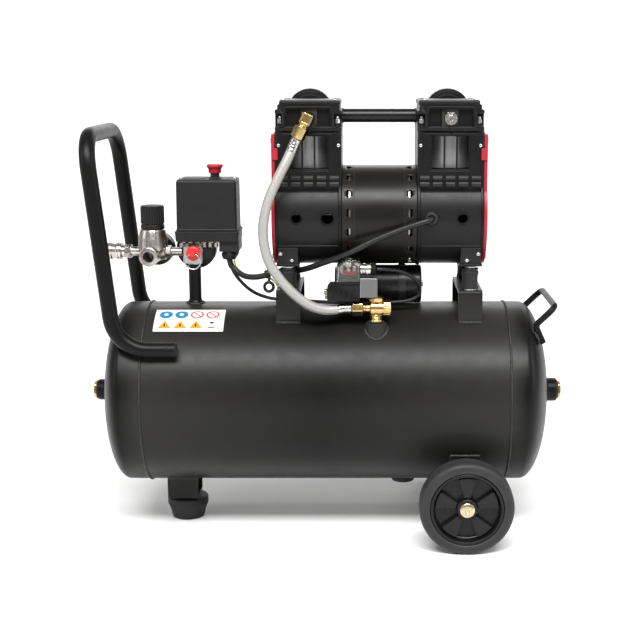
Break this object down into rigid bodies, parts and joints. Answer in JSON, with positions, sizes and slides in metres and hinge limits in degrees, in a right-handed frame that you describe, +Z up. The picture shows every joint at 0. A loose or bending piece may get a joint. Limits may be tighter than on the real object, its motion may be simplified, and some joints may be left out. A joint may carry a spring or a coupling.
{
  "type": "air compressor",
  "caption": "Portable oil-free air compressor: a twin-cylinder electric pump on a horizontal tank with wheels, a push handle, a pressure switch and a regulated outlet.",
  "frame": {"origin": "centre of the overall box at floor level, under the tank", "axes": "+X runs along the tank from the push handle to the lifting handle, +Y from the discharge hose side to the gauges, +Z up"},
  "size_m": [0.606, 0.301, 0.5576],
  "materials": {
    "tank_paint": "satin black powder coat",
    "casting": "semi-matt black paint on an aluminium casting",
    "black_plastic": "fine matt texture",
    "red_plastic": "semi-gloss",
    "white_plastic": "matt",
    "rubber": "matt",
    "tyre": "matt",
    "brass": "machined",
    "nickel": "nickel plate, lightly dulled",
    "aluminium": "machined",
    "steel": "plain machined steel",
    "winding": "laminated steel with copper windings",
    "braid": "pale woven braid"
  },
  "bodies": {
    "frame": {"tank_shell": "tank_paint", "tank_head_left": "tank_paint", "tank_head_right": "tank_paint", "end_plug_left": "brass", "end_plug_right": "brass", "push_handle": "tank_paint", "lifting_handle": "tank_paint", "riser_pipe": "tank_paint", "foot_bracket": "tank_paint", "rubber_foot": "rubber", "axle_bracket": "tank_paint", "manifold": "nickel", "switch_base": "black_plastic", "switch_cover": "black_plastic", "switch_contacts": "black_plastic", "tank_gauge": "black_plastic", "regulator_body": "nickel", "outlet_gauge": "black_plastic", "coupler_body": "nickel", "pump_bracket_left": "tank_paint", "pump_bracket_right": "tank_paint", "mount_left_front": "rubber", "mount_left_rear": "rubber", "mount_right_front": "rubber", "mount_right_rear": "rubber", "motor_housing": "tank_paint", "stator": "winding", "crankcase_left": "casting", "crankcase_right": "casting", "cylinder_left": "aluminium", "cylinder_right": "aluminium", "cylinder_head_left": "casting", "cylinder_head_right": "casting", "air_filter_left": "black_plastic", "air_filter_right": "black_plastic", "end_cover_left": "red_plastic", "end_cover_right": "red_plastic", "crossover_pipe": "tank_paint", "discharge_elbow": "brass", "discharge_hose": "braid", "check_valve": "brass", "solenoid_valve": "black_plastic", "capacitor": "black_plastic", "motor_lead": "rubber", "valve_lead": "rubber"},
    "front_wheel": {"rim_front": "black_plastic", "tyre_front": "tyre"},
    "rear_wheel": {"rim_rear": "black_plastic", "tyre_rear": "tyre"},
    "drain": {"drain_screw": "brass"},
    "start_knob": {"switch_knob": "red_plastic"},
    "relief_cap": {"safety_valve_cap": "red_plastic"},
    "relief_ring": {"pull_ring": "steel"},
    "tank_needle": {"tank_gauge_needle": "white_plastic"},
    "outlet_needle": {"outlet_gauge_needle": "white_plastic"},
    "pressure_knob": {"regulator_knob": "black_plastic"},
    "sleeve": {"coupler_sleeve": "nickel"},
    "motor_rotor": {"rotor": "steel"},
    "left_piston": {"piston_left": "aluminium"},
    "right_piston": {"piston_right": "aluminium"}
  },
  "joints": [
    {"name": "front_wheel_spin", "type": "hinge", "parent": "frame", "child": "front_wheel", "pos_m": [0.173, -0.132, 0.058], "axis": [0, 1, 0], "continuous": true},
    {"name": "rear_wheel_spin", "type": "hinge", "parent": "frame", "child": "rear_wheel", "pos_m": [0.173, 0.132, 0.058], "axis": [0, 1, 0], "continuous": true},
    {"name": "drain_screw_turn", "type": "hinge", "parent": "frame", "child": "drain", "pos_m": [0.099, 0, 0.054], "axis": [0, 0, -1], "range_deg": [0, 360]},
    {"name": "start_knob_pull", "type": "slide", "parent": "frame", "child": "start_knob", "axis": [0, 0, 1], "range_m": [0, 0.006]},
    {"name": "relief_cap_pull", "type": "slide", "parent": "frame", "child": "relief_cap", "axis": [0, -1, 0], "range_m": [0, 0.0025], "stiffness_N_per_m": 600},
    {"name": "relief_ring_swing", "type": "hinge", "parent": "relief_cap", "child": "relief_ring", "pos_m": [-0.1657, -0.0425, 0.3558], "axis": [1, 0, 0], "range_deg": [-90, 0]},
    {"name": "tank_needle_turn", "type": "hinge", "parent": "frame", "child": "tank_needle", "pos_m": [-0.1713, 0.05, 0.352], "axis": [0, -1, 0], "range_deg": [0, 270], "stiffness_Nm_per_rad": 0.0002},
    {"name": "outlet_needle_turn", "type": "hinge", "parent": "frame", "child": "outlet_needle", "pos_m": [-0.21957, 0.03662, 0.353], "axis": [-0.0698, -0.9976, 0], "range_deg": [0, 270], "stiffness_Nm_per_rad": 0.0002},
    {"name": "pressure_knob_turn", "type": "hinge", "parent": "frame", "child": "pressure_knob", "pos_m": [-0.22187, 0.0037, 0.398], "axis": [0, 0, 1], "range_deg": [0, 360]},
    {"name": "sleeve_pull", "type": "slide", "parent": "frame", "child": "sleeve", "axis": [0.9976, -0.0698, 0], "range_m": [0, 0.003], "stiffness_N_per_m": 300},
    {"name": "rotor_spin", "type": "hinge", "parent": "frame", "child": "motor_rotor", "pos_m": [0.0668, 0, 0.401], "axis": [1, 0, 0], "continuous": true},
    {"name": "left_piston_stroke", "type": "slide", "parent": "frame", "child": "left_piston", "axis": [0, 0, 1], "range_m": [0, 0.016]},
    {"name": "right_piston_stroke", "type": "slide", "parent": "frame", "child": "right_piston", "axis": [0, 0, -1], "range_m": [0, 0.016]}
  ]
}
